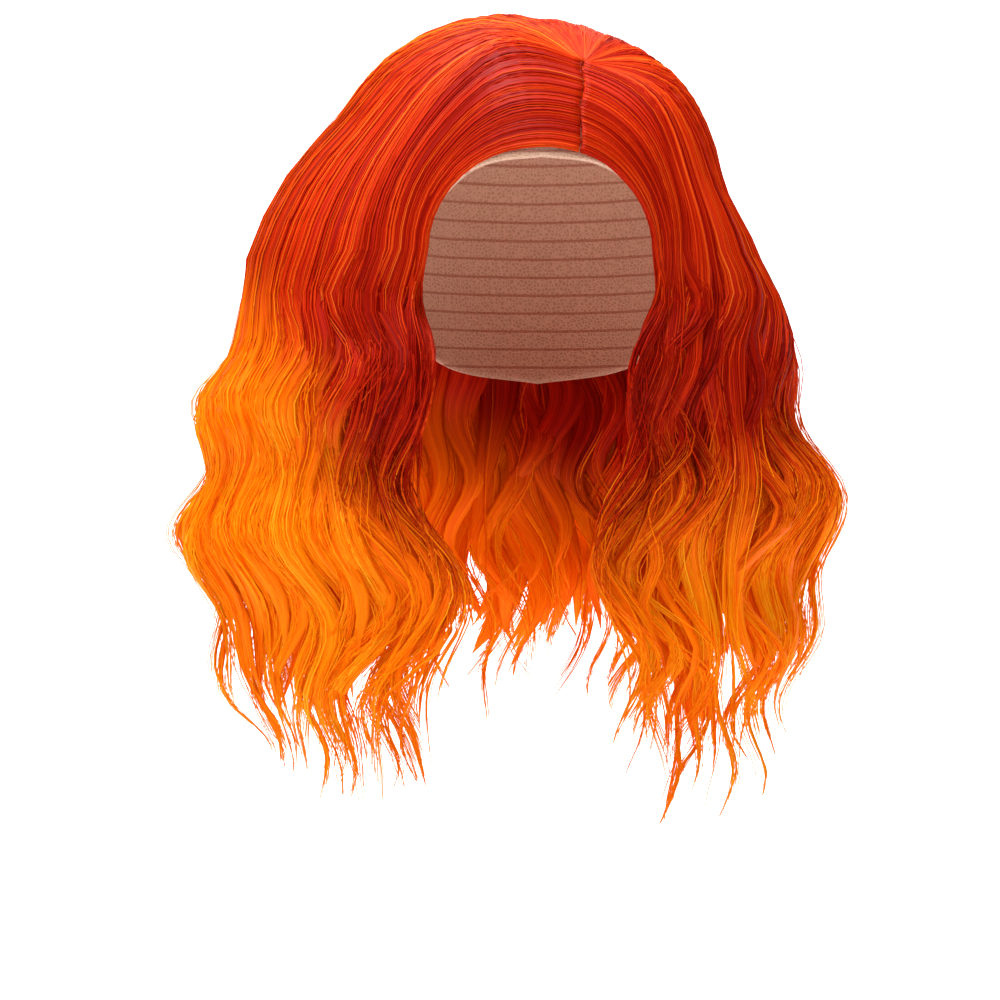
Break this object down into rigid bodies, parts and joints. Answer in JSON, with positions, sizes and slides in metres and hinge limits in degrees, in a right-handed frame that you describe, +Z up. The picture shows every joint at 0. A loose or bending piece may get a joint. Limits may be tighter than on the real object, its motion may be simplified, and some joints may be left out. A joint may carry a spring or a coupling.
{
  "type": "short wavy wig",
  "caption": "Short wavy wig with a side parting: a net cap that fits over a head, with tiers of waved, tapering locks round it that leave the face open.",
  "frame": {"origin": "the point inside the cap that the crown of a head touches", "axes": "+Z up along the wearer's body, -Y the way the face looks, +X towards the wearer's left side, where the parting is"},
  "size_m": [0.3087, 0.2258, 0.3657],
  "materials": {
    "cap_net": "fine stretch net, matt",
    "front_band": "soft brushed band, matt",
    "parting_skin": "smooth coated net, satin",
    "top_hair": "synthetic fibre, silky, red-orange turning to orange at the ends",
    "middle_hair": "synthetic fibre, silky, red-orange turning to orange at the ends",
    "under_hair": "synthetic fibre, silky, deep red turning to orange at the ends"
  },
  "bodies": {
    "root": {"cap_net": "cap_net", "front_band": "front_band", "parting_strip": "parting_skin", "top_hair_left_front": "top_hair", "top_hair_left_side": "top_hair", "top_hair_back": "top_hair", "top_hair_right_side": "top_hair", "top_hair_right_front": "top_hair", "middle_weft_left": "middle_hair", "middle_weft_back": "middle_hair", "middle_weft_right": "middle_hair", "under_weft_left": "under_hair", "under_weft_nape": "under_hair", "under_weft_right": "under_hair"}
  },
  "joints": []
}
